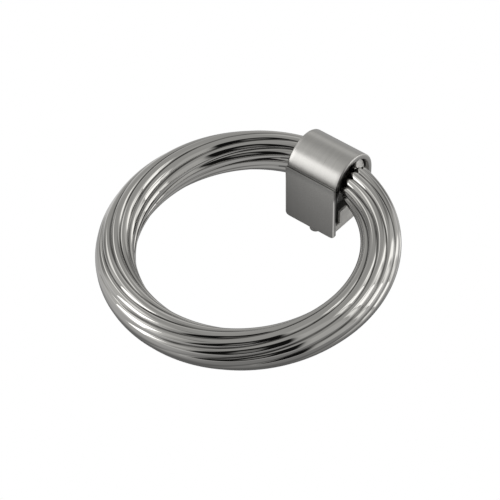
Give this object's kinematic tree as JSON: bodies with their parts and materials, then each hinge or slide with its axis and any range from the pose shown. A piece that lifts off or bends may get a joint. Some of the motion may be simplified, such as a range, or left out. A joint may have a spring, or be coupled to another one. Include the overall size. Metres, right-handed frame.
{
  "type": "ring pull handle",
  "caption": "Ring pull handle: a twisted, fluted ring swings on a journal trapped in a short arched mount that is screwed on from behind.",
  "frame": {"origin": "middle of the mount on its mounting surface, at the mouth of the threaded hole", "axes": "+X along the ring's journal, +Y away from the ring, +Z out of the mounting surface"},
  "size_m": [0.06, 0.0616, 0.0194],
  "materials": {
    "ring_metal": "polished nickel plate",
    "cover_metal": "brushed nickel plate",
    "insert_metal": "satin casting"
  },
  "bodies": {
    "mount": {"mount_cover": "cover_metal", "base_insert": "insert_metal"},
    "ring": {"pull_ring": "ring_metal"}
  },
  "joints": [
    {"name": "ring_swing", "type": "hinge", "parent": "mount", "child": "ring", "pos_m": [0, -0.0005, 0.0116], "axis": [-1, 0, 0], "range_deg": [-2.7, 194]}
  ]
}
